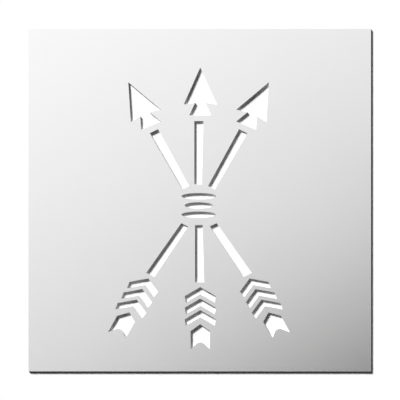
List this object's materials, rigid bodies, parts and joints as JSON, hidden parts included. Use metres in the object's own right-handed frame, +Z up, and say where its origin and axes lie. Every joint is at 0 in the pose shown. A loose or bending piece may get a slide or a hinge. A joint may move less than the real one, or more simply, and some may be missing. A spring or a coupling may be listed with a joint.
{
  "type": "arrow stencil",
  "caption": "Flat square metal stencil with a cut-through sheaf of bound arrows, laid on a surface so that paint passes through the openings.",
  "frame": {"origin": "centre of the underside of the sheet, on the surface that it lies on", "axes": "+X across the figure, +Y up the figure towards the arrowheads, +Z up out of the sheet"},
  "size_m": [0.3, 0.3, 0.002],
  "materials": {
    "satin_aluminium": "satin, fine grained, with bare cut edges"
  },
  "bodies": {
    "root": {"stencil_plate": "satin_aluminium"}
  },
  "joints": []
}
